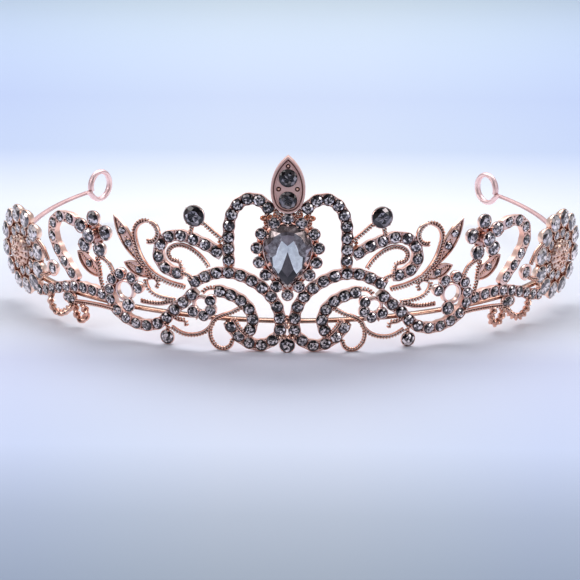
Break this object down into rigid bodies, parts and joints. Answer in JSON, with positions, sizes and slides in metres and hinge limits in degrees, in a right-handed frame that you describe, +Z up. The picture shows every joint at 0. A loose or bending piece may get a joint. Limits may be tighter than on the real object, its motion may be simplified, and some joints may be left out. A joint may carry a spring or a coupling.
{
  "type": "tiara",
  "caption": "Openwork bridal tiara of scrolled rose-gold strips and twisted wires set with smoky round stones round a pear drop, on a thin open headband with end loops.",
  "frame": {"origin": "on the table under the middle of the bounding box", "axes": "+X across the tiara towards the viewer's right, +Y from the decorated front to the open back, +Z up"},
  "size_m": [0.143, 0.1128, 0.0444],
  "materials": {
    "rose_gold": "polished rose-gold plating",
    "smoke_glass": "foil-backed faceted glass, smoky grey",
    "pear_glass": "foil-backed faceted glass, pale blue-grey to dark grey"
  },
  "bodies": {
    "root": {"headband": "rose_gold", "end_loop_left": "rose_gold", "end_loop_right": "rose_gold", "pear_setting": "rose_gold", "halo_cups": "rose_gold", "finial_plate": "rose_gold", "finial_beads": "rose_gold", "base_cup": "rose_gold", "centre_ties": "rose_gold", "pear_stone": "pear_glass", "halo_stones": "smoke_glass", "finial_stones": "smoke_glass", "base_stone": "smoke_glass", "shoulder_scroll_left": "rose_gold", "inner_scroll_left": "rose_gold", "lower_swag_left": "rose_gold", "long_sweep_left": "rose_gold", "side_strip_left": "rose_gold", "lyre_arch_left": "rose_gold", "spiral_scroll_left": "rose_gold", "side_arch_left": "rose_gold", "crozier_rope_left": "rose_gold", "front_ropes_left": "rose_gold", "side_ropes_left": "rose_gold", "eyelet_ring_left": "rose_gold", "ring_rosette_left": "rose_gold", "flower_setting_left": "rose_gold", "medallion_left": "rose_gold", "bezel_cups_left": "rose_gold", "leaves_left": "rose_gold", "strip_stones_left": "smoke_glass", "flower_stones_left": "smoke_glass", "medallion_petals_left": "smoke_glass", "medallion_stones_left": "smoke_glass", "bezel_stones_left": "smoke_glass", "leaf_stones_left": "smoke_glass", "shoulder_scroll_right": "rose_gold", "inner_scroll_right": "rose_gold", "lower_swag_right": "rose_gold", "long_sweep_right": "rose_gold", "side_strip_right": "rose_gold", "lyre_arch_right": "rose_gold", "spiral_scroll_right": "rose_gold", "side_arch_right": "rose_gold", "crozier_rope_right": "rose_gold", "front_ropes_right": "rose_gold", "side_ropes_right": "rose_gold", "eyelet_ring_right": "rose_gold", "ring_rosette_right": "rose_gold", "flower_setting_right": "rose_gold", "medallion_right": "rose_gold", "bezel_cups_right": "rose_gold", "leaves_right": "rose_gold", "strip_stones_right": "smoke_glass", "flower_stones_right": "smoke_glass", "medallion_petals_right": "smoke_glass", "medallion_stones_right": "smoke_glass", "bezel_stones_right": "smoke_glass", "leaf_stones_right": "smoke_glass"}
  },
  "joints": []
}
